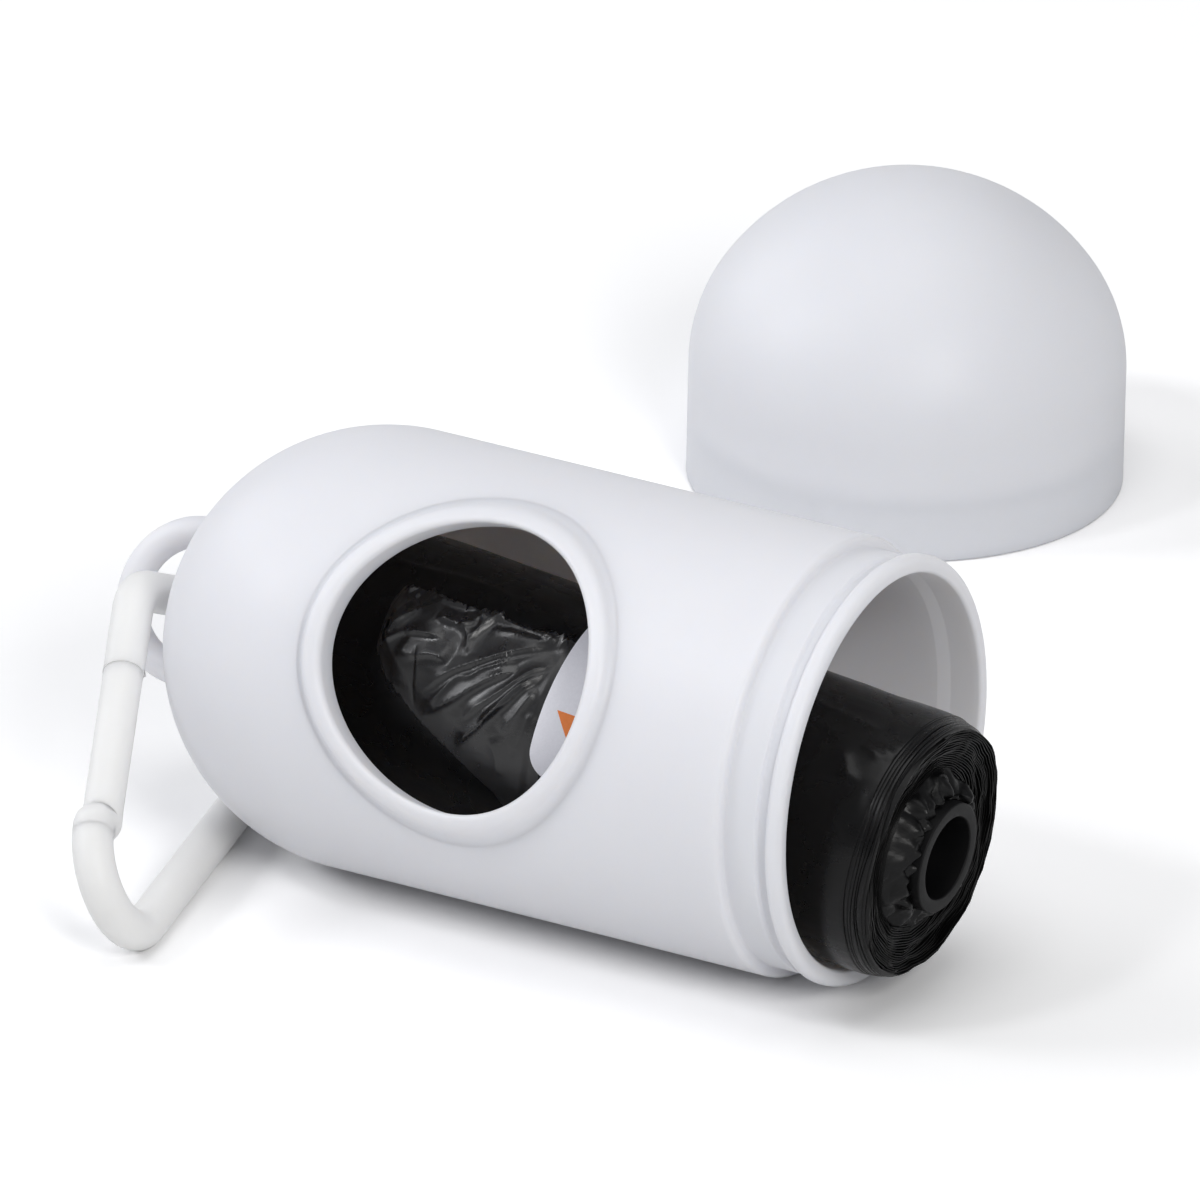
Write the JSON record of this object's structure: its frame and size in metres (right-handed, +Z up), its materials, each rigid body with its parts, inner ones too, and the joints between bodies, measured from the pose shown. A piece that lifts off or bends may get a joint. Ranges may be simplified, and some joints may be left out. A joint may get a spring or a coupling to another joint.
{
  "type": "waste bag dispenser",
  "caption": "Capsule-shaped dispenser for rolled pet waste bags, lying open: windowed barrel with a roll inside, its snap cap beside it, and a snap clip in the end eyelet.",
  "frame": {"origin": "bottom centre of the box of the whole part, on the surface that the housing and its cap stand on", "axes": "+X along the lying housing, from its domed end to its mouth; +Y from the housing to the cap; +Z up"},
  "size_m": [0.09, 0.161, 0.0421],
  "materials": {
    "housing_plastic": "moulded, satin gloss",
    "clip_plastic": "moulded, slightly translucent",
    "core_tube": "extruded, dull",
    "bag_film": "wound thin film, soft sheen",
    "label_paper": "printed, uncoated"
  },
  "bodies": {
    "housing": {"shell": "housing_plastic"},
    "cap": {"cap": "housing_plastic"},
    "clip": {"clip_frame": "clip_plastic"},
    "gate": {"clip_gate": "clip_plastic"},
    "core": {"roll_core": "core_tube"},
    "film": {"bag_roll": "bag_film", "leading_bag": "bag_film", "roll_label": "label_paper"}
  },
  "joints": [
    {"name": "cap_lift", "type": "slide", "parent": "housing", "child": "cap", "axis": [0, 0, 1], "range_m": [0, 0.06]},
    {"name": "clip_swing", "type": "hinge", "parent": "housing", "child": "clip", "pos_m": [-0.03972, -0.04324, 0.021], "axis": [-0.0041, 0.9018, -0.4322], "range_deg": [0, 228]},
    {"name": "gate_open", "type": "hinge", "parent": "clip", "child": "gate", "pos_m": [-0.02943, -0.0735, 0.01211], "axis": [-0.9004, -0.1914, -0.3907], "range_deg": [0, 11], "stiffness_Nm_per_rad": 0.02},
    {"name": "roll_pull", "type": "slide", "parent": "housing", "child": "core", "axis": [1, 0, 0], "range_m": [0, 0.075]},
    {"name": "roll_turn", "type": "hinge", "parent": "core", "child": "film", "pos_m": [-0.02812, -0.04324, 0.021], "axis": [0.9961, -0.0273, -0.0839], "continuous": true}
  ]
}
